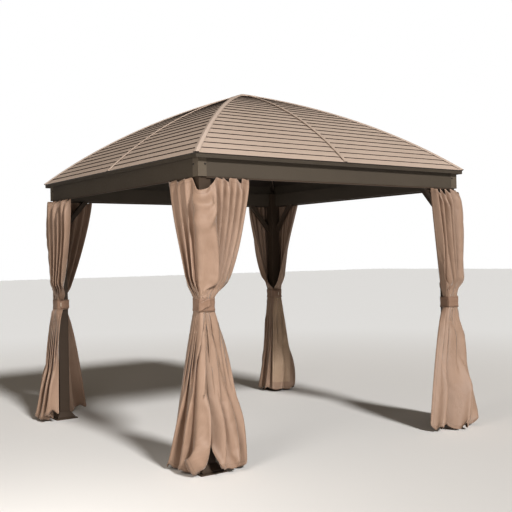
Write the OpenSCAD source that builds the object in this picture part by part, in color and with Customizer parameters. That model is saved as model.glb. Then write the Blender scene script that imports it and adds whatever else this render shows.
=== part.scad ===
// Square hardtop gazebo: four posts, a beam frame, a domed lapped-metal hip roof
// and a gathered curtain tied at each corner. Millimetres, ground at z = 0,
// origin at the centre of the plan, front is -Y, left is -X.

/* [Frame] */
// Outer width of the square beam frame
frame_w = 2790; // [2600:10:3000]
// Height of the top of the beams above the ground
frame_h = 2300; // [2200:10:2400]
// Height of each beam
beam_h = 140; // [120:5:160]
// Depth of each beam from outer to inner face
beam_d = 60; // [50:1:80]
// Thickness of the beam's outer plate where it passes the post
fascia_t = 14; // [14:1:20]
// Width of each square post
post_w = 100; // [90:5:110]
// Leg of the cover over each beam corner
cover_leg = 72; // [60:1:90]
// How far each corner cover stands proud of the beam face
cover_proud = 1.5; // [1:0.5:3]
// Reach of each knee brace along the beam
brace_run = 270; // [200:5:300]
// Drop of each knee brace down the post
brace_drop = 310; // [200:5:340]
// Width of each knee brace
brace_w = 44; // [30:1:60]

/* [Feet] */
// Side of each square foot plate
plate_w = 220; // [210:5:240]
// Thickness of each foot plate
plate_t = 10; // [8:1:14]
// Distance between anchor holes
anchor_pitch = 194; // [190:1:200]
// Radius of each anchor hole
anchor_r = 5.5; // [4:0.5:6]
// Side of the foot cover at its base
foot_cover_w = 178; // [170:1:180]
// Height of the foot cover
foot_cover_h = 58; // [40:1:70]
// Height of the upright band at the bottom of the foot cover
foot_band_h = 14; // [8:1:20]

/* [Roof] */
// Half width of the roof skin at the eaves
roof_half = 1435; // [1400:5:1460]
// Height of the roof skin's edge at the eaves
eave_z = 2319; // [2315:1:2330]
// Radius of the domed roof section
roof_r = 3500; // [3400:10:3600]
// Slope of the roof at the apex, in degrees
apex_slope = 15.4; // [14:0.2:17]
// Number of lapped courses on each roof face
courses = 22; // [16:1:26]
// Step at each lap
lap = 7; // [4:0.5:7.5]
// Thickness of the roof skin under the laps
skin_t = 4; // [3:0.5:6]
// Half width of the hip caps
hip_half = 21; // [18:1:26]
// Half width of the seam strips
seam_half = 15; // [12:1:20]

/* [Curtains] */
// Reach of each gathered curtain along the beam from the corner
wing_top = 435; // [380:5:480]
// Height of the middle of the tie straps
tie_z = 1130; // [1000:5:1300]
// Height of the middle of the front left tie strap
tie_z_front_left = 1222; // [1000:5:1300]
// Height of each tie strap
tie_h = 100; // [60:5:120]
// Height of the curtain hem above the ground
hem_z = 14; // [12:1:40]
// How far the hem spreads out past the post
hem_out = 180; // [120:5:180]

/* [Hidden] */

half = frame_w / 2;
beam_z = frame_h - beam_h;
body_out = half - fascia_t;
beam_in = half - beam_d;
post_out = half - fascia_t - 1;
post_in = post_out - post_w;
post_c = post_out - post_w / 2;
cover_in = half - cover_leg;
rail_h = 12;
rail_w = 11;

// Roof section: an arc falling from the apex to the eave
ang_e = asin(sin(apex_slope) + roof_half / roof_r);
apex_z = eave_z + roof_r * (cos(apex_slope) - cos(ang_e));
function ang(k) = apex_slope + (ang_e - apex_slope) * k / courses;
function arc_at(a, o) = [
  roof_r * (sin(a) - sin(apex_slope)) + o * sin(a),
  apex_z - roof_r * (cos(apex_slope) - cos(a)) + o * cos(a)];
function ang_of(t) = asin(sin(apex_slope) + t / roof_r);

// Lapped skin: each course rises to a nose, then steps down to the next
function skin_pts() = concat(
  [arc_at(ang(0), 0)],
  [for (k = [1:courses]) for (j = [0:1]) if (k < courses || j == 0) arc_at(ang(k), j == 0 ? lap : 0)],
  [for (k = [courses:-1:0]) arc_at(ang(k), -skin_t)]);

// A smooth band between two offsets from the arc
function band_pts(o1, o2) = concat(
  [for (k = [0:courses]) arc_at(ang(k), o2)],
  [for (k = [courses:-1:0]) arc_at(ang(k), o1)]);

cap_o = lap + 1;
web_o = -skin_t - 0.2;
rafter_end = half - 46;

frame_brown = [0.24, 0.20, 0.16];
beam_taupe = [0.40, 0.36, 0.31];
roof_tan = [0.55, 0.48, 0.40];
rib_tan = [0.66, 0.59, 0.51];
cloth_taupe = [0.52, 0.45, 0.37];
strap_taupe = [0.42, 0.36, 0.29];

// Side 0 front, 1 right, 2 back, 3 left
module on_side(s) rotate([0, 0, 90 * s]) children();

// A roof section drawn on the front face, running right across it
module across(pts) rotate([0, 0, -90]) rotate([90, 0, 0]) linear_extrude(height = 2 * roof_half + 200, center = true) polygon(pts);

// A plan outline carried up through the roof
module tall(pts) translate([0, 0, frame_h - 60]) linear_extrude(height = 1000) polygon(pts);

// ---- posts and feet
module post(sx, sy) color(frame_brown)
  translate([sx * post_c - post_w / 2, sy * post_c - post_w / 2, plate_t]) cube([post_w, post_w, frame_h - plate_t]);

module foot_plate(sx, sy) color(frame_brown)
  translate([sx * post_c, sy * post_c, 0]) difference() {
    translate([-plate_w / 2, -plate_w / 2, 0]) cube([plate_w, plate_w, plate_t]);
    for (i = [-1, 1]) for (j = [-1, 1])
      translate([i * anchor_pitch / 2, j * anchor_pitch / 2, -1]) cylinder(h = plate_t + 2, r = anchor_r, $fn = 32);
  }

module foot_cover(sx, sy) translate([sx * post_c, sy * post_c, plate_t]) difference() {
  union() {
    translate([-foot_cover_w / 2, -foot_cover_w / 2, 0]) cube([foot_cover_w, foot_cover_w, foot_band_h]);
    hull() {
      translate([-foot_cover_w / 2, -foot_cover_w / 2, foot_band_h - 1]) cube([foot_cover_w, foot_cover_w, 1]);
      translate([-post_w / 2 - 5, -post_w / 2 - 5, foot_cover_h - 1]) cube([post_w + 10, post_w + 10, 1]);
    }
  }
  translate([-post_w / 2 - 0.5, -post_w / 2 - 0.5, -1]) cube([post_w + 1, post_w + 1, foot_cover_h + 2]);
}

module foot_covers() color(frame_brown) for (sx = [-1, 1]) for (sy = [-1, 1]) foot_cover(sx, sy);

// ---- beams, corner covers, curtain rails, braces
module beam(s) color(beam_taupe) on_side(s) union() {
  translate([-cover_in + 0.5, -half, beam_z]) cube([2 * cover_in - 1, fascia_t, beam_h]);
  translate([-post_in + 0.5, -body_out - 0.01, beam_z]) cube([2 * post_in - 1, body_out - beam_in, beam_h]);
}

module corner_cover(s) on_side(s) translate([-half - cover_proud, -half - cover_proud, beam_z - cover_proud]) union() {
  cube([cover_leg + cover_proud, fascia_t + cover_proud - 0.5, beam_h + cover_proud]);
  cube([fascia_t + cover_proud - 0.5, cover_leg + cover_proud, beam_h + cover_proud]);
}

module beam_corner_covers() color(beam_taupe) for (s = [0:3]) corner_cover(s);

module curtain_rails() color(frame_brown) for (s = [0:3]) on_side(s)
  translate([-cover_in + 1, -half + 2, beam_z - rail_h]) cube([2 * cover_in - 2, rail_w, rail_h]);

module knee_brace(m) mirror([m, 0, 0])
  translate([0, -beam_in - 3, 0]) rotate([90, 0, 0]) linear_extrude(height = beam_d - fascia_t - 8)
    polygon([
      [-post_in + 0.5, beam_z - brace_drop], [-post_in + brace_run, beam_z - 0.5],
      [-post_in + brace_run - brace_w * 1.32, beam_z - 0.5], [-post_in + 0.5, beam_z - brace_drop + brace_w * 1.52]]);

module knee_braces() color(frame_brown) for (s = [0:3]) on_side(s) {
  knee_brace(0);
  knee_brace(1);
}

// ---- roof
function under(t) = arc_at(ang_of(t), -skin_t - 0.7)[1];
eave_in = rafter_end + 1;
eave_out = roof_half - 2;

module eave_rail(s) color(roof_tan) on_side(s) intersection() {
  across([
    [eave_in, frame_h], [eave_out - 5, frame_h], [eave_out - 5, frame_h - 10], [eave_out, frame_h - 10],
    [eave_out, under(eave_out)], [eave_in, under(eave_in)]]);
  tall([[-1000, -1000.5], [-1500, -1500.5], [1500, -1500.5], [1000, -1000.5]]);
}

// Half a roof face: m = -1 left half, 1 right half, seen from outside
module roof_panel(s, m) color(roof_tan) on_side(s) intersection() {
  across(skin_pts());
  tall(m < 0
    ? [[-4, -11.5], [-4, -1500], [-1492.5, -1500]]
    : [[4, -11.5], [1492.5, -1500], [4, -1500]]);
}

// One side of a hip strip: w half width, from t1 to t2 along the eave direction
function strip(t1, t2, w) = [
  [-t1, -t1], [-t2, -t2], [-t2 + w * sqrt(0.5), -t2 - w * sqrt(0.5)], [-t1 + w * sqrt(0.5), -t1 - w * sqrt(0.5)]];

module hip_side() {
  intersection() { across(band_pts(cap_o, cap_o + 7)); tall(strip(97, 1520, hip_half)); }
  intersection() { across(band_pts(web_o, cap_o)); tall(strip(97, 1520, 4)); }
  intersection() { across(band_pts(-50, web_o)); tall(strip(88, rafter_end, 18)); }
}

module hip_rib(s) color(rib_tan) on_side(s) union() {
  hip_side();
  mirror([1, -1, 0]) hip_side();
}

module seam_rib() {
  intersection() { across(band_pts(cap_o, cap_o + 6)); tall([[-seam_half, -97], [seam_half, -97], [seam_half, -1500], [-seam_half, -1500]]); }
  intersection() { across(band_pts(web_o, cap_o)); tall([[-3, -97], [3, -97], [3, -1500], [-3, -1500]]); }
  intersection() { across(band_pts(-42, web_o)); tall([[-14, -122], [14, -122], [14, -rafter_end], [-14, -rafter_end]]); }
}

module seam_ribs() color(rib_tan) for (s = [0:3]) on_side(s) seam_rib();

module crown_cap() color(rib_tan) for (s = [0:3]) on_side(s) intersection() {
  across(band_pts(cap_o, cap_o + 9));
  tall([[0, 0], [-96, -96], [96, -96]]);
}

module crown_hub() color(frame_brown) translate([0, 0, apex_z - 90]) cylinder(h = 42, r = 120, $fn = 64);

// ---- curtains and tie straps, drawn for the back right corner
in_c = post_out + 3;
bunch = 14;
c_top = beam_z - rail_h - 4;

module slab(x1, x2, y1, y2, z1, z2) translate([x1, y1, z1]) cube([x2 - x1, y2 - y1, z2 - z1]);

module curtain_upper(tz) {
  zt = tz + tie_h / 2;
  hull() {
    slab(half - wing_top, half + 38, in_c, half + 38, c_top - 60, c_top);
    slab(post_in - 8, in_c + bunch + 4, in_c, in_c + bunch + 4, zt + 6, zt + 26);
  }
  slab(post_in + 2, in_c + bunch, in_c, in_c + bunch, tz - tie_h / 2 - 16, zt + 16);
}

// Below the strap the cloth opens outside the post
module curtain_lower(tz) {
  zb = tz - tie_h / 2;
  hull() {
    slab(post_in - 8, in_c + bunch + 4, in_c, in_c + bunch + 4, zb - 26, zb - 6);
    slab(post_in - 150, post_out + hem_out, post_out + 45, post_out + hem_out, hem_z, hem_z + 30);
  }
}

module curtain_shape(tz) for (m = [0, 1]) mirror([m, -m, 0]) {
  curtain_upper(tz);
  curtain_lower(tz);
}

// Below the strap the cloth closes right round the post
module curtain_shape_round(tz) {
  zb = tz - tie_h / 2;
  hem_half = post_w / 2 + hem_out - 30;
  for (m = [0, 1]) mirror([m, -m, 0]) curtain_upper(tz);
  difference() {
    hull() {
      slab(post_in - 3 - bunch, in_c + bunch + 4, post_in - 3 - bunch, in_c + bunch + 4, zb - 26, zb - 6);
      slab(post_c - hem_half, post_c + hem_half, post_c - hem_half, post_c + hem_half, hem_z, hem_z + 30);
    }
    hull() {
      slab(post_in - 3, in_c, post_in - 3, in_c, zb - 1, zb);
      slab(post_c - 120, post_c + 120, post_c - 120, post_c + 120, hem_z - 1, hem_z);
    }
  }
}

module tie_shape(tz) difference() {
  slab(post_in - 6, in_c + bunch + 6, post_in - 6, in_c + bunch + 6, tz - tie_h / 2, tz + tie_h / 2);
  slab(post_in - 2, in_c + bunch + 2, post_in - 2, in_c + bunch + 2, tz - tie_h, tz + tie_h);
}

module curtain(turn, tz) color(cloth_taupe) rotate([0, 0, turn]) curtain_shape(tz);
module curtain_round(tz) color(cloth_taupe) curtain_shape_round(tz);
module tie_strap(turn, tz) color(strap_taupe) rotate([0, 0, turn]) tie_shape(tz);

// ---- output
post(-1, -1);  // post_front_left
post(1, -1);  // post_front_right
post(-1, 1);  // post_back_left
post(1, 1);  // post_back_right
foot_plate(-1, -1);  // foot_plate_front_left
foot_plate(1, -1);  // foot_plate_front_right
foot_plate(-1, 1);  // foot_plate_back_left
foot_plate(1, 1);  // foot_plate_back_right
foot_covers();
beam(0);  // beam_front
beam(1);  // beam_right
beam(2);  // beam_back
beam(3);  // beam_left
beam_corner_covers();
curtain_rails();
knee_braces();
eave_rail(0);  // eave_rail_front
eave_rail(1);  // eave_rail_right
eave_rail(2);  // eave_rail_back
eave_rail(3);  // eave_rail_left
roof_panel(0, -1);  // roof_panel_front_a
roof_panel(0, 1);  // roof_panel_front_b
roof_panel(1, -1);  // roof_panel_right_a
roof_panel(1, 1);  // roof_panel_right_b
roof_panel(2, -1);  // roof_panel_back_a
roof_panel(2, 1);  // roof_panel_back_b
roof_panel(3, -1);  // roof_panel_left_a
roof_panel(3, 1);  // roof_panel_left_b
hip_rib(0);  // hip_rib_front_left
hip_rib(1);  // hip_rib_front_right
hip_rib(2);  // hip_rib_back_right
hip_rib(3);  // hip_rib_back_left
seam_ribs();
crown_cap();
crown_hub();
curtain(180, tie_z_front_left);  // curtain_front_left
curtain(-90, tie_z);  // curtain_front_right
curtain(90, tie_z);  // curtain_back_left
curtain_round(tie_z);  // curtain_back_right
tie_strap(180, tie_z_front_left);  // tie_strap_front_left
tie_strap(-90, tie_z);  // tie_strap_front_right
tie_strap(90, tie_z);  // tie_strap_back_left
tie_strap(0, tie_z);  // tie_strap_back_right
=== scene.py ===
import math

import bmesh
import bpy
import numpy as np
from mathutils import Matrix, Vector


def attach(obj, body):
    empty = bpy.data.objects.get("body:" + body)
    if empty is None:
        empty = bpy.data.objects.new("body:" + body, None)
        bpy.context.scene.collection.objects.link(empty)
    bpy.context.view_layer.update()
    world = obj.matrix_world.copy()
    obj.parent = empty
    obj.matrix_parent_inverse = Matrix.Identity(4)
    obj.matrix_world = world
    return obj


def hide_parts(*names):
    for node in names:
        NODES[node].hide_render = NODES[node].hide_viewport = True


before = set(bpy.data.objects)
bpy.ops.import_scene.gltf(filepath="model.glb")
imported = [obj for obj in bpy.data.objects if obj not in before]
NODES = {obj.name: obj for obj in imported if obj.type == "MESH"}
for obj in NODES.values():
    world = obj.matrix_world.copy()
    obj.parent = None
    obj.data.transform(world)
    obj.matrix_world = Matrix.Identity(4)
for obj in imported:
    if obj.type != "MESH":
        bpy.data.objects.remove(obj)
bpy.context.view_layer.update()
scene = bpy.context.scene


# ------------------------------------------------------------------ materials
class Mat:
    """A small builder for node materials."""

    def __init__(self, name):
        self.m = bpy.data.materials.new(name)
        self.m.use_nodes = True
        self.t = self.m.node_tree
        self.t.nodes.clear()
        self.out = self.t.nodes.new("ShaderNodeOutputMaterial")
        self.b = self.t.nodes.new("ShaderNodeBsdfPrincipled")
        self.link(self.b.outputs[0], self.out.inputs["Surface"])

    def link(self, a, b):
        self.t.links.new(a, b)

    def node(self, kind, **props):
        n = self.t.nodes.new(kind)
        for k, v in props.items():
            setattr(n, k, v)
        return n

    def set(self, **kw):
        for k, v in kw.items():
            self.b.inputs[k.replace("_", " ")].default_value = v

    def coord(self, kind="Object", scale=(1, 1, 1), rot=(0, 0, 0)):
        c = self.node("ShaderNodeTexCoord")
        m = self.node("ShaderNodeMapping")
        m.inputs["Scale"].default_value = scale
        m.inputs["Rotation"].default_value = rot
        self.link(c.outputs[kind], m.inputs[0])
        return m.outputs[0]

    def noise(self, vec, scale, detail=2.0, rough=0.5, distort=0.0):
        n = self.node("ShaderNodeTexNoise")
        n.inputs["Scale"].default_value = scale
        n.inputs["Detail"].default_value = detail
        n.inputs["Roughness"].default_value = rough
        n.inputs["Distortion"].default_value = distort
        if vec is not None:
            self.link(vec, n.inputs["Vector"])
        return n.outputs["Fac"]

    def math(self, op, a, b=None, c=None):
        n = self.node("ShaderNodeMath", operation=op)
        for i, x in enumerate((a, b, c)):
            if x is None:
                continue
            if isinstance(x, (int, float)):
                n.inputs[i].default_value = x
            else:
                self.link(x, n.inputs[i])
        return n.outputs[0]

    def span(self, v, a, b, c, d, smooth=False):
        n = self.node("ShaderNodeMapRange")
        if smooth:
            n.interpolation_type = "SMOOTHSTEP"
        for i, x in zip((1, 2, 3, 4), (a, b, c, d)):
            n.inputs[i].default_value = x
        self.link(v, n.inputs[0])
        return n.outputs[0]

    def ramp(self, v, stops):
        n = self.node("ShaderNodeValToRGB")
        e = n.color_ramp.elements
        while len(e) < len(stops):
            e.new(0.5)
        for x, (p, c) in zip(e, stops):
            x.position = p
            x.color = (*c, 1.0)
        self.link(v, n.inputs[0])
        return n.outputs[0]

    def mix(self, fac, a, b, blend="MIX"):
        n = self.node("ShaderNodeMix", data_type="RGBA", blend_type=blend)
        for i, x in zip((0, 6, 7), (fac, a, b)):
            if isinstance(x, (int, float)):
                n.inputs[i].default_value = x
            elif isinstance(x, tuple):
                n.inputs[i].default_value = (*x, 1.0)
            else:
                self.link(x, n.inputs[i])
        return n.outputs[2]

    def bump(self, height, strength, dist, normal=None):
        n = self.node("ShaderNodeBump")
        n.inputs["Strength"].default_value = strength
        n.inputs["Distance"].default_value = dist
        self.link(height, n.inputs["Height"])
        if normal is not None:
            self.link(normal, n.inputs["Normal"])
        return n.outputs[0]

    def color(self, sock):
        self.link(sock, self.b.inputs["Base Color"])

    def rough(self, sock):
        self.link(sock, self.b.inputs["Roughness"])

    def normal(self, sock):
        self.link(sock, self.b.inputs["Normal"])


def powder_coat(name, dark, light, rough=0.5, peel=0.25):
    """Matt powder coat: orange-peel bump and faint mottling."""
    m = Mat(name)
    v = m.coord("Object")
    big = m.noise(v, 1.7, 4.0, 0.55)
    fine = m.noise(v, 60.0, 3.0, 0.6)
    both = m.math("ADD", m.math("MULTIPLY", big, 0.7), m.math("MULTIPLY", fine, 0.3))
    m.color(m.ramp(both, [(0.30, dark), (0.70, light)]))
    m.rough(m.span(fine, 0.3, 0.7, rough - 0.06, rough + 0.08))
    peel_h = m.noise(v, 420.0, 2.0, 0.5)
    m.normal(m.bump(peel_h, peel, 0.0006))
    m.set(Specular_IOR_Level=0.45)
    return m.m


def coil_coat(name, dark, light, rough=0.42, along=(1.0, 1.0, 1.0), back=None):
    """Painted sheet: faint rolled streaks along the courses, slow mottling, a little grime, and painted shade below:
    faces that point downwards take the dark colour back.
    """
    m = Mat(name)
    v = m.coord("Object")
    streak = m.noise(m.coord("Object", along), 9.0, 5.0, 0.6)
    slow = m.noise(v, 1.1, 3.0, 0.5)
    grime = m.noise(v, 14.0, 6.0, 0.65, 0.4)
    f = m.math("ADD", m.math("MULTIPLY", streak, 0.45), m.math("MULTIPLY", slow, 0.55))
    base = m.ramp(f, [(0.28, dark), (0.72, light)])
    dirt = m.span(grime, 0.56, 0.78, 0.0, 0.22, True)
    col = m.mix(dirt, base, tuple(0.72 * x for x in dark))
    # painted shade: faces that point downwards are mixed to the dark colour back, standing in for the shade under the
    # roof
    if back is not None:
        sep = m.node("ShaderNodeSeparateXYZ")
        m.link(m.node("ShaderNodeNewGeometry").outputs["Normal"], sep.inputs[0])
        under = m.span(sep.outputs[2], -0.10, -0.25, 0.0, 1.0)
        inner = m.ramp(f, [(0.28, tuple(0.8 * x for x in back)), (0.72, back)])
        col = m.mix(under, col, inner)
    m.color(col)
    m.rough(m.span(grime, 0.3, 0.75, rough - 0.05, rough + 0.14))
    fine = m.noise(v, 260.0, 2.0, 0.5)
    wave = m.noise(m.coord("Object", along), 3.0, 2.0, 0.5)
    m.normal(m.bump(wave, 0.35, 0.004, m.bump(fine, 0.12, 0.0006)))
    m.set(Specular_IOR_Level=0.5)
    return m.m


def cloth_mat(name, dark, light, hem_v=None, strength=0.35, net=None):
    """Plain-weave polyester: threads from the flat cut's own metres, soft sheen, slubs and faint creases."""
    m = Mat(name)
    uv = m.node("ShaderNodeUVMap", uv_map="flat").outputs[0]
    sep = m.node("ShaderNodeSeparateXYZ")
    m.link(uv, sep.inputs[0])
    u, v = sep.outputs[0], sep.outputs[1]
    pitch = 2.0 * math.pi / 0.0016
    warp = m.math("SINE", m.math("MULTIPLY", u, pitch))
    weft = m.math("SINE", m.math("MULTIPLY", v, pitch))
    weave = m.math("MULTIPLY", warp, weft)
    slub_map = m.node("ShaderNodeMapping")
    slub_map.inputs["Scale"].default_value = (260.0, 9.0, 1.0)
    m.link(uv, slub_map.inputs[0])
    slub = m.noise(slub_map.outputs[0], 1.0, 3.0, 0.6)
    slow = m.noise(uv, 5.0, 3.0, 0.5)
    f = m.math("ADD", m.math("MULTIPLY", slub, 0.35), m.math("MULTIPLY", slow, 0.65))
    col = m.ramp(f, [(0.30, dark), (0.70, light)])
    thread = m.span(weave, -1.0, 1.0, 0.0, 0.16)
    col = m.mix(thread, col, tuple(0.62 * x for x in dark))
    if net is not None:
        # paler open weave from one flat width on, below the tie and above a plain hem
        from_u, from_v, to_v = net
        zone = m.math("MULTIPLY", m.span(u, from_u - 0.004, from_u + 0.004, 0.0, 1.0), m.span(v, from_v, from_v + 0.06, 0.0, 1.0, True))
        zone = m.math("MULTIPLY", zone, m.span(v, to_v - 0.003, to_v + 0.003, 1.0, 0.0))
        open_pitch = 2.0 * math.pi / 0.0034
        holes = m.math("MULTIPLY", m.math("SINE", m.math("MULTIPLY", u, open_pitch)), m.math("SINE", m.math("MULTIPLY", v, open_pitch)))
        sheer = m.ramp(m.math("ADD", m.math("MULTIPLY", slow, 0.6), m.math("MULTIPLY", holes, 0.16)), [(0.16, (0.345, 0.238, 0.160)), (0.48, (0.515, 0.374, 0.264))])
        col = m.mix(zone, col, sheer)
    if hem_v is not None:
        width, length, tape = hem_v
        d_end = m.math("SUBTRACT", length, v)
        d_side = m.math("MINIMUM", u, m.math("SUBTRACT", width, u))
        edge = m.math("MINIMUM", m.math("MINIMUM", d_end, v), m.math("MULTIPLY", d_side, tape / 0.022))
        line = m.math("ABSOLUTE", m.math("SUBTRACT", edge, tape))
        stitch = m.span(line, 0.0012, 0.0030, 0.35, 0.0, True)
        fold = m.span(edge, tape - 0.002, tape + 0.001, 0.10, 0.0, True)
        col = m.mix(stitch, col, tuple(0.45 * x for x in dark))
        col = m.mix(fold, col, tuple(0.70 * x for x in dark))
    m.color(col)
    crease_map = m.node("ShaderNodeMapping")
    crease_map.inputs["Scale"].default_value = (15.0, 6.0, 1.0)
    crease_map.inputs["Rotation"].default_value = (0.0, 0.0, 0.12)
    m.link(uv, crease_map.inputs[0])
    crease = m.noise(crease_map.outputs[0], 1.0, 2.0, 0.40, 1.0)
    m.rough(m.span(slow, 0.3, 0.7, 0.50, 0.62))
    b = m.bump(weave, strength, 0.0003)
    drape_map = m.node("ShaderNodeMapping")
    drape_map.inputs["Scale"].default_value = (7.0, 3.4, 1.0)
    drape_map.inputs["Rotation"].default_value = (0.0, 0.0, 0.45)
    m.link(uv, drape_map.inputs[0])
    drape = m.noise(drape_map.outputs[0], 1.0, 2.0, 0.45, 1.2)
    b = m.bump(crease, 0.35, 0.010, b)
    b = m.bump(drape, 0.40, 0.022, b)
    m.normal(b)
    m.set(Specular_IOR_Level=0.5, Sheen_Weight=0.35, Sheen_Roughness=0.35, Sheen_Tint=(1.0, 0.95, 0.90, 1.0))
    return m.m


# painted shade: the dark colour coil_coat puts on faces that point downwards, standing in for the shade under the roof
UNDERSIDE_SHADE = (0.034, 0.023, 0.017)
DARK = powder_coat("frame_powder_coat", (0.050, 0.031, 0.019), (0.070, 0.046, 0.029), 0.55)
BEAM = powder_coat("beam_powder_coat", (0.063, 0.048, 0.034), (0.082, 0.064, 0.045), 0.60)
ROOF_X = coil_coat("roof_sheet_front_back", (0.463, 0.364, 0.294), (0.554, 0.441, 0.364), 0.45, (0.15, 5.0, 5.0), UNDERSIDE_SHADE)
ROOF_Y = coil_coat("roof_sheet_sides", (0.463, 0.364, 0.294), (0.554, 0.441, 0.364), 0.45, (5.0, 0.15, 5.0), UNDERSIDE_SHADE)
TRIM = coil_coat("roof_trim_paint", (0.486, 0.388, 0.321), (0.582, 0.471, 0.395), 0.36, (1.0, 1.0, 1.0), UNDERSIDE_SHADE)
COVER = powder_coat("cover_powder_coat", (0.106, 0.083, 0.059), (0.133, 0.106, 0.077), 0.52)
SEAM = coil_coat("seam_strip_paint", (0.424, 0.333, 0.271), (0.508, 0.407, 0.337), 0.42, (1.0, 1.0, 1.0), UNDERSIDE_SHADE)
# painted shade: the eave rails are made near-black to stand in for the shadow line under the roof's edge
EAVE_PAINTED_SHADE = coil_coat("eave_painted_shade", (0.052, 0.040, 0.028), (0.074, 0.058, 0.041), 0.45, (1.0, 1.0, 1.0), UNDERSIDE_SHADE)

CORNERS = {"front_left": (-1, -1), "front_right": (1, -1), "back_left": (-1, 1), "back_right": (1, 1)}
SIDES = ("front", "right", "back", "left")


def paint(node, mat):
    d = NODES[node].data
    d.materials.clear()
    d.materials.append(mat)


for c in CORNERS:
    paint("post_" + c, DARK)
    paint("foot_plate_" + c, DARK)
    paint("hip_rib_" + c, TRIM)
for n in ("foot_covers", "curtain_rails", "knee_braces", "crown_hub"):
    paint(n, DARK)
paint("beam_corner_covers", COVER)
paint("seam_ribs", SEAM)
paint("crown_cap", TRIM)
for s in SIDES:
    paint("beam_" + s, BEAM)
    paint("eave_rail_" + s, EAVE_PAINTED_SHADE)
    for h in "ab":
        paint("roof_panel_%s_%s" % (s, h), ROOF_X if s in ("front", "back") else ROOF_Y)


# ------------------------------------------------------------------ mesh helpers
def new_mesh(name, verts, faces, mat, smooth=True):
    me = bpy.data.meshes.new(name)
    me.from_pydata([tuple(map(float, v)) for v in verts], [], [tuple(map(int, f)) for f in faces])
    me.update()
    me.materials.append(mat)
    ob = bpy.data.objects.new(name, me)
    scene.collection.objects.link(ob)
    if smooth:
        me.polygons.foreach_set("use_smooth", [True] * len(me.polygons))
    return ob


def grid_faces(nu, nv, close=False):
    """Quads of a grid stored row by row, nu points in each of nv rows."""
    out = []
    for r in range(nv - 1):
        for i in range(nu if close else nu - 1):
            j = (i + 1) % nu
            out.append((r * nu + i, r * nu + j, (r + 1) * nu + j, (r + 1) * nu + i))
    return out


# ------------------------------------------------------------------ curtains
PO = 1.380   # outer face of the posts
PW = 0.100   # width of a post
BEAM_BOTTOM = 2.160
TOP_Z = 2.157


def wrap_path(u, o, long_wing):
    """Points at distances u along a line that runs round the post's outer corner at distance o from its faces.
    With long_wing the line runs on straight past the post, and otherwise it goes on round the post."""
    v = np.abs(u)
    a0 = math.pi / 4 * o
    th = math.pi / 4 - v / o
    x, y = PO + o * np.cos(th), PO + o * np.sin(th)
    w = v > a0
    x, y = np.where(w, PO + o, x), np.where(w, PO - (v - a0), y)
    if not long_wing:
        w = v > a0 + PW
        th = -(v - a0 - PW) / o
        x, y = np.where(w, PO + o * np.cos(th), x), np.where(w, PO - PW + o * np.sin(th), y)
        w = v > a0 + PW + math.pi / 2 * o
        x, y = np.where(w, PO - (v - a0 - PW - math.pi / 2 * o), x), np.where(w, PO - PW - o, y)
    return np.stack([np.where(u >= 0, x, y), np.where(u >= 0, y, x)], -1)


def fold_table():
    """Shapes of one smooth fold of flat width 1 for each gathering: where each point lies along and out from the line."""
    ratio = np.linspace(0.03, 0.99, 64)
    s_at = np.linspace(0, 1, 101)
    tau = np.linspace(0, 1, 401)
    T, N = [], []
    for r in ratio:
        lo, hi = 0.0, 1.0
        for _ in range(40):
            a = (lo + hi) / 2
            t, n = r * tau, a * (1 - np.cos(2 * np.pi * tau)) / 2
            s = np.concatenate([[0], np.cumsum(np.hypot(np.diff(t), np.diff(n)))])
            lo, hi = (a, hi) if s[-1] < 1 else (lo, a)
        s /= s[-1]
        T.append(np.interp(s_at, s, tau))
        N.append(np.interp(s_at, s, n))
    return ratio, s_at, np.array(T), np.array(N)


RATIO, S_AT, FOLD_T, FOLD_N = fold_table()


def pick(table, r, sl):
    i = np.clip(np.interp(r, RATIO, np.arange(len(RATIO))), 0, len(RATIO) - 1.001)
    j = np.clip(sl * 100, 0, 99.999)
    i0, j0 = i.astype(int), j.astype(int)
    fi, fj = i - i0, j - j0
    return ((1 - fi) * (1 - fj) * table[i0, j0] + fi * (1 - fj) * table[i0 + 1, j0]
            + (1 - fi) * fj * table[i0, j0 + 1] + fi * fj * table[i0 + 1, j0 + 1])


def smooth(x):
    x = np.clip(x, 0, 1)
    return x * x * (3 - 2 * x)


def along(x, xs, ys):
    """Straight-line look-up that runs on past both ends."""
    y = np.interp(x, xs, ys)
    y = np.where(x < xs[0], ys[0] + (x - xs[0]) * (ys[1] - ys[0]) / (xs[1] - xs[0]), y)
    return np.where(x > xs[-1], ys[-1] + (x - xs[-1]) * (ys[-1] - ys[-2]) / (xs[-1] - xs[-2]), y)


FINE = np.linspace(-0.5, 1.5, 2401)


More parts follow.
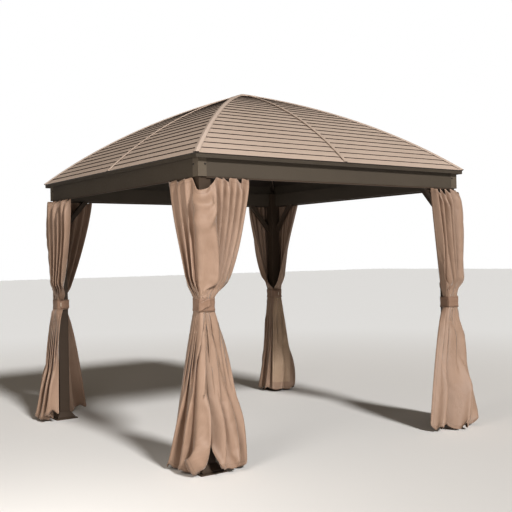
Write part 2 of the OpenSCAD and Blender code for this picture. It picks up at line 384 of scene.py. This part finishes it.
def sections(share, W, cols, line_a, line_b, mixes, upright, way, bulge=None, swag=None):
    """Plans of the gathered cloth on lines between line_a and line_b: an array (heights, columns, 2).
    share: fold edges as shares of the width. mixes: how far each line is towards line_b, for each share in FINE.
    upright: how far the folds stand out from the line, from 0 lying along it to 1 square to it."""
    q = cols / W
    out = np.zeros((len(mixes), len(cols), 2))
    A, B = line_a(FINE), line_b(FINE)
    rng = np.random.default_rng(len(share) * 7 + int(1000 * W))
    wander, sway = 0.012 * rng.random(len(share)), 2 * math.pi * rng.random(len(share))
    for h, (e, up) in enumerate(zip(mixes, upright)):
        L = (1 - e)[:, None] * A + e[:, None] * B
        run = np.concatenate([[0], np.cumsum(np.hypot(*np.diff(L, axis=0).T))])
        tan = np.gradient(L, axis=0)
        tan = np.stack([np.convolve(np.pad(tan[:, i], 15, "edge"), np.ones(31) / 31, "valid") for i in (0, 1)], -1)
        tan /= np.linalg.norm(tan, axis=1)[:, None] + 1e-12
        for k in range(len(share) - 1):
            s0, s1 = share[k], share[k + 1]
            sel = np.where((q >= s0 - 1e-9) & ((q < s1 - 1e-9) | (k == len(share) - 2)))[0]
            if not len(sel):
                continue
            w = (s1 - s0) * W
            d0, d1 = np.interp(s0, FINE, run), np.interp(s1, FINE, run)
            r = np.full(len(sel), (d1 - d0) / w)
            sl = (q[sel] - s0) / (s1 - s0)
            t, n = pick(FOLD_T, r, sl), pick(FOLD_N, r, sl) * w
            n = n * (1.0 if swag is None else swag[k][h])
            lean = way * math.sqrt(max(0.0, 1 - up * up))
            at = d0 + t * (d1 - d0) + n * lean + wander[k] * math.sin(math.pi * h / (len(mixes) - 1)) * math.sin(sway[k] + 5.0 * h / len(mixes)) * np.sin(math.pi * sl)
            px = np.stack([np.interp(at, run, L[:, i]) for i in (0, 1)], -1)
            tg = np.stack([np.interp(at, run, tan[:, i]) for i in (0, 1)], -1)
            nr = np.stack([-tg[:, 1], tg[:, 0]], -1)
            push = n * up + (0 if bulge is None else np.interp(q[sel], FINE, bulge[h]))
            out[h, sel] = px + push[:, None] * nr
    return out


CURTAINS = {
    # width of the flat cut; tie height; most slack above the tie; how the sides bow out above it and widen below it (front
    # or back wing, left or right wing); reach round the post at the tie; then shares of the flat width at which folds meet,
    # where those lie along the rail and along the hem, and how far the edge droops between them, measured from the corner: below zero on the front or back side,
    # above zero on the left or right side
    "front_left": dict(
        seed=3, width=1.27, tie=1.222, slack=0.12, bow=(1.35, 1.05), tuck=(0.10, 0.16), flare=(0.90, 0.90), belly=(0.0, 0.0), lean=-1,
        reach=(0.112, 0.102), out=(0.025, 0.076), ring=False, slit=0.435, lie=0.40,
        top=[(0.0, -0.440), (0.09, -0.386), (0.18, -0.330), (0.27, -0.272), (0.36, -0.213), (0.45, -0.153),
             (0.69, 0.082), (0.79, 0.185), (0.90, 0.310), (1.0, 0.425)],
        droop=[0.020, 0.045, 0.012, 0.038, 0.020, 0.125, 0.012, 0.022, 0.015], deepest={5: 0.66}, swags=[(5, 0.17, 0.028, 0.075, 0.64, 0.34), (5, 0.37, 0.028, 0.100, 0.72, 0.52)],
        hem=[(0.0, -0.380), (0.145, -0.270), (0.29, -0.150), (0.433, -0.040), (0.437, 0.012), (0.62, 0.085), (0.81, 0.245), (1.0, 0.405)]),
    "front_right": dict(
        seed=11, width=1.45, tie=1.122, slack=0.12, bow=(1.10, 1.8), tuck=(0.12, 0.26), flare=(0.62, 0.80), belly=(0.0, 0.010), lean=1,
        reach=(0.180, 0.100), out=(0.090, 0.080), ring=False, slit=None, lie=0.25,
        top=[(0.0, -0.350), (0.10, -0.285), (0.20, -0.225), (0.32, -0.160), (0.42, -0.090), (0.55, 0.030),
             (0.66, 0.100), (0.77, 0.165), (0.88, 0.225), (1.0, 0.290)],
        droop=[0.020, 0.055, 0.070, 0.050, 0.045, 0.040, 0.030, 0.030, 0.020], deepest={},
        hem=[(0.0, -0.550), (0.16, -0.420), (0.48, -0.110), (0.66, 0.050), (0.83, 0.200), (1.0, 0.345)]),
    "back_left": dict(
        seed=5, width=1.60, tie=1.130, slack=0.12, bow=(1.3, 1.8), tuck=(0.10, 0.16), flare=(0.60, 0.42), belly=(0.0, 0.0), lean=1,
        reach=(0.106, 0.120), out=(0.100, 0.100), ring=False, slit=None, lie=0.30,
        top=[(0.0, -0.445), (0.08, -0.370), (0.16, -0.280), (0.24, -0.190), (0.31, -0.110), (0.44, 0.030),
             (0.57, 0.150), (0.69, 0.260), (0.80, 0.350), (0.90, 0.430), (1.0, 0.505)],
        droop=[0.012, 0.004, 0.004, 0.004, 0.006, 0.030, 0.045, 0.060, 0.030, 0.050], deepest={},
        hem=[(0.0, -0.450), (0.16, -0.300), (0.31, -0.140), (0.46, 0.020), (0.64, 0.130), (0.82, 0.250), (1.0, 0.390)]),
    "back_right": dict(
        seed=8, width=1.50, tie=1.130, slack=0.10, bow=(1.15, 1.0), tuck=(0.12, 0.10), flare=(0.75, 0.90), belly=(0.0, 0.0), lean=-1,
        reach=(0.215, 0.228), out=(0.080, 0.095), ring=True, slit=None, lie=0.5, folds=11, net=(1.20, 1.10, 2.135),
        wings=(0.350, 0.420), droop=[0.004] * 11, deepest={},
        hem=[(0.0, -0.440), (0.13, -0.320), (0.26, -0.195), (0.39, -0.065), (0.54, 0.080), (0.69, 0.230), (0.85, 0.385), (1.0, 0.540)]),
}
LENGTH = 2.220
NU, NV = 121, 146
BAND = 0.042
PLEATS = 13
FRAMES = 36
BEND = 0.2
SHEAR = 4.0
CORNER_GAP = 0.074


def lay_out(corner, p):
    """Start shape of one curtain, true to the flat cut: columns run down from the rail, in to the tie, and out to the hem."""
    rng = np.random.default_rng(p["seed"])
    W = p["width"]
    if "top" in p:
        top = np.array(p["top"])
    else:
        n = p["folds"]
        w = 1 + 0.7 * (rng.random(n) - 0.5)
        sh = np.concatenate([[0], np.cumsum(w / w.sum())])
        u = -p["wings"][0] + sum(p["wings"]) * sh
        u[1:-1] += 0.35 * sum(p["wings"]) / n * (rng.random(n - 1) - 0.5)
        top = np.stack([sh, u], -1)
    hem = np.array(p["hem"])
    cols = np.linspace(0, W, NU)
    q = cols / W
    on_top = lambda x: wrap_path(along(x, top[:, 0], top[:, 1]), 0.0170, True)
    on_tie = lambda x: wrap_path(-p["reach"][0] + sum(p["reach"]) * x, 0.007, False)
    on_hem = lambda x: wrap_path(along(x, hem[:, 0], hem[:, 1]), step(x), not p["ring"])
    at, part = (p["slit"], 0.0005) if p["slit"] else (0.5, 0.3)
    step = lambda x: p["out"][0] + (p["out"][1] - p["out"][0]) * smooth((x - at + part) / (2 * part))
    zt, zb = p["tie"] + BAND, p["tie"] - BAND
    f = np.linspace(0, 1, 61)
    side = smooth((FINE - 0.3) / 0.4)
    blend = lambda two: two[0] + (two[1] - two[0]) * side
    bow, tuck, flare = blend(p["bow"]), blend(p["tuck"]), blend(p["flare"])
    e_up = (1 - tuck) * f[:, None] ** bow + tuck * smooth((f[:, None] - 0.88) / 0.12)
    e_dn = f[:, None] ** flare
    flat_lie = 0.12
    stand_up = 1 - (1 - flat_lie) * (p["lie"] * f ** 1.4 + (1 - p["lie"]) * smooth((f - 0.80) / 0.20))
    stand_dn = flat_lie + (1 - flat_lie) * f ** 0.9
    w = 1 + 0.4 * (rng.random(PLEATS) - 0.5)
    pleats = np.concatenate([[0], np.cumsum(w / w.sum())])
    bulge = blend(p["belly"]) * (1.25 * f * (1 - smooth((f - 0.80) / 0.20)))[:, None]
    for k, f0, tall, reach, low, vee in p.get("swags", []):
        # a draped ridge under the drooping edge: k is the fold it lies in,
        # low the share of the fold where it hangs lowest
        x = np.clip((FINE - top[k, 0]) / (top[k + 1, 0] - top[k, 0]), 0, 1)
        off = f[:, None] - f0 + vee * np.sqrt((x - low) ** 2 + 0.0064)[None, :]
        ridge = np.where(np.abs(off) < reach, np.cos(np.pi * off / (2 * reach)) ** 2, 0.0)
        bulge = bulge + tall * (np.sin(np.pi * x) ** 1.3)[None, :] * ridge
    line = on_top(FINE)
    line = np.concatenate([[0], np.cumsum(np.hypot(*np.diff(line, axis=0).T))])
    droop, swag = [], []
    for k in range(len(top) - 1):
        w = (top[k + 1, 0] - top[k, 0]) * W
        chord = np.interp(top[k + 1, 0], FINE, line) - np.interp(top[k, 0], FINE, line)
        most = 0.5 * math.sqrt(max(1e-8, w * w - chord * chord))
        d = min(p["droop"][k], 0.96 * most)
        droop.append(d)
        swag.append(math.sqrt(1 - (d / most) ** 2) + (1 - math.sqrt(1 - (d / most) ** 2)) * smooth(f * (TOP_Z - zt) / (1.8 * d + 0.01)))
    upper = sections(top[:, 0], W, cols, on_top, on_tie, e_up, stand_up, p["lean"], bulge, swag)
    lower = sections(hem[:, 0], W, cols, on_tie, on_hem, e_dn, stand_dn, p["lean"])
    fine_up = sections(pleats, W, cols, on_top, on_tie, e_up, stand_up, p["lean"], bulge)
    fine_dn = sections(pleats, W, cols, on_tie, on_hem, e_dn, stand_dn, p["lean"])
    mids = [hem[0, 0]]
    for s0, s1 in zip(hem[:-1, 0], hem[1:, 0]):
        mids += [s0 + (s1 - s0) * (0.42 + 0.16 * rng.random()), s1] if s1 - s0 > 0.02 else [s1]
    mid_dn = sections(mids, W, cols, on_tie, on_hem, e_dn, stand_dn, p["lean"])
    c = smooth((f - 0.84) / 0.15)[:, None, None]
    upper = (1 - c) * upper + c * fine_up
    c = smooth((f - 0.04) / 0.22)[:, None, None]
    d = smooth((f - 0.30) / 0.45)[:, None, None]
    lower = (1 - d) * ((1 - c) * fine_dn + c * mid_dn) + d * lower
    tie = upper[-1]
    sx, sy = CORNERS[corner]
    rows = np.linspace(0, LENGTH, NV)
    P = np.zeros((NV, NU, 3))
    pin = np.zeros((NV, NU))
    sag = np.zeros(NU)
    for k in range(len(top) - 1):
        s0, s1 = top[k, 0], top[k + 1, 0]
        sel = (q >= s0) & (q <= s1)
        x, low = (q[sel] - s0) / (s1 - s0), p["deepest"].get(k, 0.5)
        sag[sel] = droop[k] * (1 - (1 - np.minimum(x / low, (1 - x) / (1 - low))) ** 1.15)
    z_up = TOP_Z - sag[:, None] + (zt - TOP_Z + sag[:, None]) * f
    runs = np.sqrt((np.diff(upper, axis=0) ** 2).sum(2).T + np.diff(z_up, axis=1) ** 2)
    runs = np.concatenate([np.zeros((NU, 1)), np.cumsum(runs, 1)], 1)
    falls = np.sqrt((np.diff(lower, axis=0) ** 2).sum(2).T + ((zb - 0.028) / (len(f) - 1)) ** 2).sum(1)
    give = np.clip((LENGTH - 2 * BAND - falls) / runs[:, -1], 1.0, 1.0 + p["slack"])
    give = np.convolve(np.pad(give, 6, "edge"), np.ones(13) / 13, "valid")
    for i in range(NU):
        run = runs[i] * give[i]
        d1 = run[-1]
        left = LENGTH - d1 - 2 * BAND
        flat_run = np.hypot(*np.diff(lower[:, i], axis=0).T)
        lo, hi = 0.0, zb
        for _ in range(30):
            zh = (lo + hi) / 2
            ln = np.sqrt(flat_run ** 2 + ((zb - zh) / (len(f) - 1)) ** 2).sum()
            lo, hi = (zh, hi) if ln > left else (lo, zh)
        z_dn = zb + (max(zh, 0.016) - zb) * f
        down = np.concatenate([[0], np.cumsum(np.sqrt(flat_run ** 2 + np.diff(z_dn) ** 2))])
        down *= left / down[-1]
        for r, t in enumerate(rows):
            if t <= d1:
                g = np.interp(t, run, f)
                x, y, z = np.interp(g, f, upper[:, i, 0]), np.interp(g, f, upper[:, i, 1]), np.interp(g, f, z_up[i])
            elif t <= d1 + 2 * BAND:
                x, y, z = tie[i, 0], tie[i, 1], zt - (t - d1)
                pin[r, i] = 1.0
            else:
                g = np.interp(t - d1 - 2 * BAND, down, f)
                x, y, z = np.interp(g, f, lower[:, i, 0]), np.interp(g, f, lower[:, i, 1]), np.interp(g, f, z_dn)
            P[r, i] = (sx * x, sy * y, z)
    hooks = []
    for x, u in top:
        if abs(u) > CORNER_GAP:
            hooks.append(int(round(x * (NU - 1))))
    for h in hooks:
        pin[0, h] = 1.0
        pin[1, h] = 1.0
    flat = np.zeros((NV, NU, 3))
    flat[..., 0] = cols[None, :]
    flat[..., 2] = -rows[:, None]
    keep = np.ones((NV - 1, NU - 1), bool)
    if p["slit"]:
        k = int(np.searchsorted(q, p["slit"])) - 1
        keep[int(np.where(pin[:, k] > 0)[0].max()) + 1:, k] = False
    return P, flat, pin, [f for f, ok in zip(grid_faces(NU, NV), keep.reshape(-1)) if ok]


def collider(name, lo, hi):
    me = bpy.data.meshes.new(name)
    bm = bmesh.new()
    bmesh.ops.create_cube(bm, size=1.0)
    for v in bm.verts:
        v.co = [l + (h - l) * (c + 0.5) for l, h, c in zip(lo, hi, v.co)]
    bmesh.ops.subdivide_edges(bm, edges=list(bm.edges), cuts=3, use_grid_fill=True)
    bm.to_mesh(me)
    bm.free()
    ob = bpy.data.objects.new(name, me)
    scene.collection.objects.link(ob)
    c = ob.modifiers.new("c", "COLLISION")
    ob.collision.thickness_outer = 0.003
    ob.collision.thickness_inner = 0.02
    ob.collision.cloth_friction = 5.0
    return ob


def simulate(starts, frames):
    """Hangs all four curtains at once and returns their settled points."""
    made, helpers = {}, []
    for c, (sx, sy) in CORNERS.items():
        m = PO - PW / 2
        helpers.append(collider("post_stop_" + c, (sx * m - PW / 2, sy * m - PW / 2, 0.06), (sx * m + PW / 2, sy * m + PW / 2, 2.2)))
        helpers.append(collider("foot_stop_" + c, (sx * m - 0.089, sy * m - 0.089, 0.0), (sx * m + 0.089, sy * m + 0.089, 0.05)))
    helpers.append(collider("ground_stop", (-2.2, -2.2, -0.2), (2.2, 2.2, 0.004)))
    for c, (P, flat, pin, quads) in starts.items():
        me = bpy.data.meshes.new("sim_" + c)
        me.from_pydata([tuple(v) for v in P.reshape(-1, 3)], [], quads)
        ob = bpy.data.objects.new("sim_" + c, me)
        scene.collection.objects.link(ob)
        ob.shape_key_add(name="Basis")
        kb = ob.shape_key_add(name="flat")
        kb.data.foreach_set("co", flat.reshape(-1).astype(np.float32))
        kb.value = 0.0
        g = ob.vertex_groups.new(name="pin")
        for i in np.where(pin.reshape(-1) > 0)[0]:
            g.add([int(i)], float(pin.reshape(-1)[i]), "REPLACE")
        cl = ob.modifiers.new("cloth", "CLOTH")
        st = cl.settings
        st.quality = 5
        st.mass = 0.001
        st.air_damping = 1.0
        st.tension_stiffness = 60.0
        st.compression_stiffness = 60.0
        st.shear_stiffness = SHEAR
        st.bending_model = "ANGULAR"
        st.bending_stiffness = BEND
        st.tension_damping = 12.0
        st.compression_damping = 12.0
        st.shear_damping = 8.0
        st.bending_damping = 0.5
        st.vertex_group_mass = "pin"
        st.rest_shape_key = kb
        cs = cl.collision_settings
        cs.use_collision = True
        cs.distance_min = 0.004
        cs.collision_quality = 2
        cs.use_self_collision = False
        cl.point_cache.frame_start = 1
        cl.point_cache.frame_end = frames
        made[c] = ob
    for f in range(1, frames + 1):
        scene.frame_set(f)
    dg = bpy.context.evaluated_depsgraph_get()
    result = {}
    for c, ob in made.items():
        ev = ob.evaluated_get(dg)
        me = ev.to_mesh()
        co = np.zeros(len(me.vertices) * 3, np.float32)
        me.vertices.foreach_get("co", co)
        result[c] = co.reshape(NV, NU, 3).astype(float)
        ev.to_mesh_clear()
    for ob in list(made.values()) + helpers:
        me = ob.data
        bpy.data.objects.remove(ob)
        bpy.data.meshes.remove(me)
    scene.frame_set(1)
    return result


def relax(Q, quads, passes):
    """Evens out the last small ripples, along the cloth's own edges, and keeps its corners."""
    f = np.array(quads)
    e = np.unique(np.sort(np.vstack([f[:, [0, 1]], f[:, [1, 2]], f[:, [2, 3]], f[:, [3, 0]]]), 1), axis=0)
    shared = np.unique(np.sort(np.vstack([f[:, [0, 1]], f[:, [1, 2]], f[:, [2, 3]], f[:, [3, 0]]]), 1), axis=0, return_counts=True)[1]
    rim = np.zeros(NU * NV, bool)
    rim[e[shared == 1].reshape(-1)] = True
    inner = rim[e[:, 0]] & rim[e[:, 1]] & (shared == 2)
    V = Q.reshape(-1, 3).copy()
    for _ in range(passes):
        tot, num = np.zeros_like(V), np.zeros(len(V))
        for i, j in ((0, 1), (1, 0)):
            ok = (~rim[e[:, i]] | rim[e[:, j]]) & ~inner
            np.add.at(tot, e[ok, i], V[e[ok, j]])
            np.add.at(num, e[ok, i], 1)
        full = num > 1
        V[full] = 0.5 * V[full] + 0.5 * tot[full] / num[full][:, None]
    return V.reshape(Q.shape)


starts = {c: lay_out(c, p) for c, p in CURTAINS.items()}
hung = {c: relax(q, starts[c][3], 1) for c, q in simulate(starts, FRAMES).items()}

CLOTH = {}
for p in CURTAINS.values():
    if p["width"] not in CLOTH:
        CLOTH[p["width"]] = cloth_mat("curtain_polyester_%d" % (100 * p["width"]), (0.285, 0.187, 0.130), (0.365, 0.248, 0.180), (p["width"], LENGTH, 0.032), net=p.get("net"))
STRAP = cloth_mat("strap_polyester", (0.230, 0.140, 0.092), (0.300, 0.190, 0.130), (9.0, 0.096, 0.010))


def flat_uv(ob, coords):
    uv = ob.data.uv_layers.new(name="flat")
    idx = np.zeros(len(ob.data.loops), np.int32)
    ob.data.loops.foreach_get("vertex_index", idx)
    uv.data.foreach_set("uv", coords[idx].reshape(-1).astype(np.float32))


for c, Q in hung.items():
    ob = new_mesh("curtain_cloth_" + c, Q.reshape(-1, 3), starts[c][3], CLOTH[CURTAINS[c]["width"]])
    f = starts[c][1].reshape(-1, 3)
    flat_uv(ob, np.stack([f[:, 0], -f[:, 2]], -1))
    so = ob.modifiers.new("thickness", "SOLIDIFY")
    so.thickness = 0.0018
    so.offset = 0.0
    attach(ob, "root")
    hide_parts("curtain_" + c)


# ------------------------------------------------------------------ tie straps
def hull2d(pts):
    pts = sorted(set(map(tuple, np.round(pts, 5))))
    def half(ps):
        h = []
        for q in ps:
            while len(h) > 1 and (h[-1][0] - h[-2][0]) * (q[1] - h[-2][1]) - (h[-1][1] - h[-2][1]) * (q[0] - h[-2][0]) <= 0:
                h.pop()
            h.append(q)
        return h
    lo, up = half(pts), half(pts[::-1])
    return np.array(lo[:-1] + up[:-1])


def ring(pts, n, out):
    """n points evenly round the hull of pts, moved out and rounded a little."""
    h = hull2d(pts)
    c = h.mean(0)
    h = np.vstack([h, h[:1]])
    seg = np.hypot(*np.diff(h, axis=0).T)
    s = np.concatenate([[0], np.cumsum(seg)])
    q = np.linspace(0, s[-1], 4 * n, endpoint=False)
    r = np.stack([np.interp(q, s, h[:, 0]), np.interp(q, s, h[:, 1])], -1)
    for _ in range(6):
        r = 0.5 * r + 0.25 * (np.roll(r, 1, 0) + np.roll(r, -1, 0))
    ang = np.arctan2(r[:, 1] - c[1], r[:, 0] - c[0])
    want = np.linspace(-math.pi, math.pi, n, endpoint=False)
    o = np.argsort(ang)
    rad = np.hypot(*(r - c).T)[o]
    rad = np.interp(want, ang[o], rad, period=2 * math.pi) + out
    return c, want, rad


STRAPS = {
    # where the end of each strap lies over the band: from and to (degrees round the post), rise over that length, width
    "front_left": (-165.0, -58.0, 0.040, 0.062),
    "front_right": (-215.0, -150.0, -0.010, 0.080),
    "back_left": (-92.0, -15.0, 0.012, 0.078),
    "back_right": (-150.0, -74.0, -0.010, 0.080),
}
STRAP_H = 0.096
NR, NH = 120, 9
TOGGLE_AT = {"front_left": 35.0, "front_right": 45.0, "back_left": -94.0, "back_right": -95.0}
toggles_v, toggles_f = [], []


def barrel(at, r, half, n=18):
    """A small upright barrel with rounded ends and a waist."""
    base = len(toggles_v)
    prof = [(0.35, -1.0), (0.72, -0.96), (0.95, -0.86), (1.0, -0.72), (0.98, -0.20), (0.84, -0.08), (0.84, 0.08), (0.98, 0.20),
            (1.0, 0.72), (0.95, 0.86), (0.72, 0.96), (0.35, 1.0)]
    for k, z in prof:
        for i in range(n):
            a = 2 * math.pi * i / n
            toggles_v.append((at[0] + k * r * math.cos(a), at[1] + k * r * math.sin(a), at[2] + z * half))
    toggles_f.extend(tuple(base + k for k in q) for q in grid_faces(n, len(prof), True))
    toggles_f.append(tuple(base + i for i in range(n))[::-1])
    toggles_f.append(tuple(base + n * (len(prof) - 1) + i for i in range(n)))


for c, (sx, sy) in CORNERS.items():
    p = CURTAINS[c]
    Q = hung[c].reshape(-1, 3)
    m = PO - PW / 2
    post = np.array([(sx * m + i * PW / 2, sy * m + j * PW / 2) for i in (-1, 1) for j in (-1, 1)])
    near = Q[np.abs(Q[:, 2] - p["tie"]) < BAND - 0.002][:, :2]
    cen, ang, rad = ring(np.vstack([near, post]), NR, 0.0035)
    rng = np.random.default_rng(p["seed"] + 40)
    wob = np.cumsum(rng.normal(0, 1, NR))
    wob -= np.linspace(wob[0], wob[-1], NR)
    wob = np.convolve(np.tile(wob, 3), np.ones(9) / 9, "same")[NR:2 * NR]
    wob = wob / (np.abs(wob).max() + 1e-9)
    V, UV, F = [], [], []
    per = 0.0
    for i in range(NR):
        j = (i + 1) % NR
        per += math.dist((rad[i] * math.cos(ang[i]), rad[i] * math.sin(ang[i])), (rad[j] * math.cos(ang[j]), rad[j] * math.sin(ang[j])))
    for r in range(NH):
        f = r / (NH - 1) * 2 - 1
        R = rad + 0.0022 * f * f + 0.0010 * math.sin(5 * f) + 0.0012 * np.roll(wob, 7 * r)
        z = p["tie"] + f * STRAP_H / 2 + 0.0035 * wob * abs(f)
        for i in range(NR):
            V.append((cen[0] + R[i] * math.cos(ang[i]), cen[1] + R[i] * math.sin(ang[i]), z[i]))
            UV.append((per * i / NR, STRAP_H * r / (NH - 1)))
    F += grid_faces(NR, NH, True)
    a0, a1, rise, wide = STRAPS[c]
    base, n = len(V), 40
    th = np.radians(np.linspace(a0, a1, n))
    R = np.interp((th + math.pi) % (2 * math.pi) - math.pi, ang, rad, period=2 * math.pi)
    arc = np.concatenate([[0], np.cumsum(np.hypot(np.diff(R * np.cos(th)), np.diff(R * np.sin(th))))])
    for r in range(NH):
        f = r / (NH - 1) * 2 - 1
        for i in range(n):
            x = arc[i] / arc[-1]
            lift = 0.0065 + 0.0022 * f * f + 0.007 * max(0.0, x - 0.86) / 0.14 - 0.0025 * max(0.0, 0.1 - x) / 0.1
            half = wide / 2 * (1 - 0.30 * smooth((x - 0.88) / 0.12))
            z = p["tie"] + rise * (x - 0.5) + f * half + 0.002 * math.sin(9 * x + c.count("t"))
            V.append((cen[0] + (R[i] + lift) * math.cos(th[i]), cen[1] + (R[i] + lift) * math.sin(th[i]), z))
            UV.append((per + arc[i], STRAP_H / 2 + f * wide / 2))
    F += [tuple(base + k for k in q) for q in grid_faces(n, NH)]
    a = math.radians(TOGGLE_AT[c])
    out = float(np.interp(a, ang, rad, period=2 * math.pi)) + 0.0180
    barrel((cen[0] + out * math.cos(a), cen[1] + out * math.sin(a), p["tie"]), 0.0055, 0.019)
    ob = new_mesh("tie_band_" + c, V, F, STRAP)
    flat_uv(ob, np.array(UV))
    so = ob.modifiers.new("thickness", "SOLIDIFY")
    so.thickness = 0.0020
    so.offset = 1.0
    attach(ob, "root")
    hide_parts("tie_strap_" + c)


TOGGLE = powder_coat("toggle_plastic", (0.50, 0.40, 0.31), (0.62, 0.51, 0.41), 0.35, 0.08)
toggles = new_mesh("tie_toggles", toggles_v, toggles_f, TOGGLE)
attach(toggles, "root")


# ------------------------------------------------------------------ bolts on the corner covers
def bolt_mesh(bm, centre, axis, r, h):
    """A low domed head with a hexagon socket."""
    axis = Vector(axis).normalized()
    side = axis.orthogonal().normalized()
    up = axis.cross(side)
    prof = [(r, 0.0), (r, 0.25 * h), (0.93 * r, 0.55 * h), (0.72 * r, 0.86 * h), (0.50 * r, h)]
    n = 24
    rings = []
    for rr, zz in prof:
        rings.append([bm.verts.new(Vector(centre) + axis * zz + (side * math.cos(2 * math.pi * i / n) + up * math.sin(2 * math.pi * i / n)) * rr) for i in range(n)])
    for zz, k in ((h, 0.42), (0.45 * h, 0.42)):
        ringv = []
        for i in range(n):
            a = 2 * math.pi * i / n
            hexr = k * r * math.cos(math.pi / 6) / math.cos((a % (math.pi / 3)) - math.pi / 6)
            ringv.append(bm.verts.new(Vector(centre) + axis * zz + (side * math.cos(a) + up * math.sin(a)) * hexr))
        rings.append(ringv)
    for a, b in zip(rings[:-1], rings[1:]):
        for i in range(n):
            bm.faces.new((a[i], a[(i + 1) % n], b[(i + 1) % n], b[i]))
    bm.faces.new(rings[-1])
    bm.faces.new(rings[0][::-1])


BOLT = powder_coat("bolt_paint", (0.020, 0.016, 0.013), (0.035, 0.028, 0.022), 0.4, 0.1)
bm = bmesh.new()
face = 1.3965
for sx, sy in CORNERS.values():
    bolt_mesh(bm, (sx * 1.335, sy * face, 2.249), (0, sy, 0), 0.008, 0.005)
    bolt_mesh(bm, (sx * face, sy * 1.335, 2.249), (sx, 0, 0), 0.008, 0.005)
bmesh.ops.recalc_face_normals(bm, faces=list(bm.faces))
me = bpy.data.meshes.new("beam_bolts")
bm.to_mesh(me)
bm.free()
me.materials.append(BOLT)
bolts = bpy.data.objects.new("beam_bolts", me)
scene.collection.objects.link(bolts)
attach(bolts, "root")


# ------------------------------------------------------------------ camera, floor, light
yaw, pitch, roll = 0.6193, 0.0070, -0.01866
fwd = np.array([math.sin(yaw) * math.cos(pitch), math.cos(yaw) * math.cos(pitch), math.sin(pitch)])
right = np.array([math.cos(yaw), -math.sin(yaw), 0.0])
up = np.cross(right, fwd)
r2 = right * math.cos(roll) + up * math.sin(roll)
u2 = -right * math.sin(roll) + up * math.cos(roll)
cam_d = bpy.data.cameras.new("camera")
cam = bpy.data.objects.new("camera", cam_d)
scene.collection.objects.link(cam)
M = Matrix.Identity(4)
for i in range(3):
    M[i][0], M[i][1], M[i][2] = r2[i], u2[i], -fwd[i]
M.translation = Vector((-4.5517, -6.4665, 1.5649))
cam.matrix_world = M
cam_d.sensor_fit = "HORIZONTAL"
cam_d.sensor_width = 36.0
cam_d.lens = 824.52 / 512 * 36
cam_d.shift_x = (256 - 251.18) / 512
cam_d.shift_y = -(256 - 251.14) / 512
cam_d.clip_end = 500
scene.camera = cam

floor_m = Mat("pale_floor")
fv = floor_m.coord("Object")
flen = floor_m.node("ShaderNodeVectorMath", operation="LENGTH")
floor_m.link(fv, flen.inputs[0])
far = floor_m.math("ADD", floor_m.span(flen.outputs["Value"], 2.5, 11.0, 0.0, 1.0, True), floor_m.math("MULTIPLY", floor_m.noise(fv, 0.8, 3.0), 0.04))
floor_m.color(floor_m.ramp(far, [(0.0, (0.79, 0.765, 0.735)), (1.0, (0.95, 0.945, 0.935))]))
floor_m.set(Roughness=0.8, Specular_IOR_Level=0.2)
bm = bmesh.new()
bmesh.ops.create_grid(bm, x_segments=8, y_segments=8, size=60)
me = bpy.data.meshes.new("floor")
bm.to_mesh(me)
bm.free()
me.materials.append(floor_m.m)
floor = bpy.data.objects.new("floor", me)
scene.collection.objects.link(floor)

world = bpy.data.worlds.new("studio")
scene.world = world
world.use_nodes = True
wt = world.node_tree
wt.nodes.clear()
wo = wt.nodes.new("ShaderNodeOutputWorld")
lp = wt.nodes.new("ShaderNodeLightPath")
b1 = wt.nodes.new("ShaderNodeBackground")
b2 = wt.nodes.new("ShaderNodeBackground")
mx = wt.nodes.new("ShaderNodeMixShader")
b1.inputs[0].default_value = (1.0, 0.88, 0.74, 1)
b1.inputs[1].default_value = 0.14
b2.inputs[0].default_value = (1.0, 1.0, 1.0, 1)
b2.inputs[1].default_value = 1.0
wt.links.new(lp.outputs["Is Camera Ray"], mx.inputs[0])
wt.links.new(b1.outputs[0], mx.inputs[1])
wt.links.new(b2.outputs[0], mx.inputs[2])
wt.links.new(mx.outputs[0], wo.inputs[0])


def soft_sun(name, toward, power, angle, color):
    d = bpy.data.lights.new(name, "SUN")
    d.energy, d.angle, d.color = power, math.radians(angle), color
    ob = bpy.data.objects.new(name, d)
    scene.collection.objects.link(ob)
    ob.rotation_euler = (-Vector(toward)).to_track_quat("-Z", "Y").to_euler()
    return ob


soft_sun("key", (-0.06, -0.83, 0.555), 4.0, 9, (0.97, 0.985, 1.0))
soft_sun("fill", (-0.80, -0.40, 0.45), 0.15, 60, (1.0, 0.86, 0.70))
box_d = bpy.data.lights.new("softbox", "AREA")
box_d.shape, box_d.size, box_d.energy, box_d.color = "DISK", 1.3, 42.0, (1.0, 0.98, 0.96)
box = bpy.data.objects.new("softbox", box_d)
scene.collection.objects.link(box)
box.location = (-3.7, -2.5, 1.9)
box.rotation_euler = (Vector((-1.35, -1.35, 1.1)) - box.location).to_track_quat("-Z", "Y").to_euler()

scene.view_settings.view_transform = "Standard"
scene.view_settings.gamma = 0.85
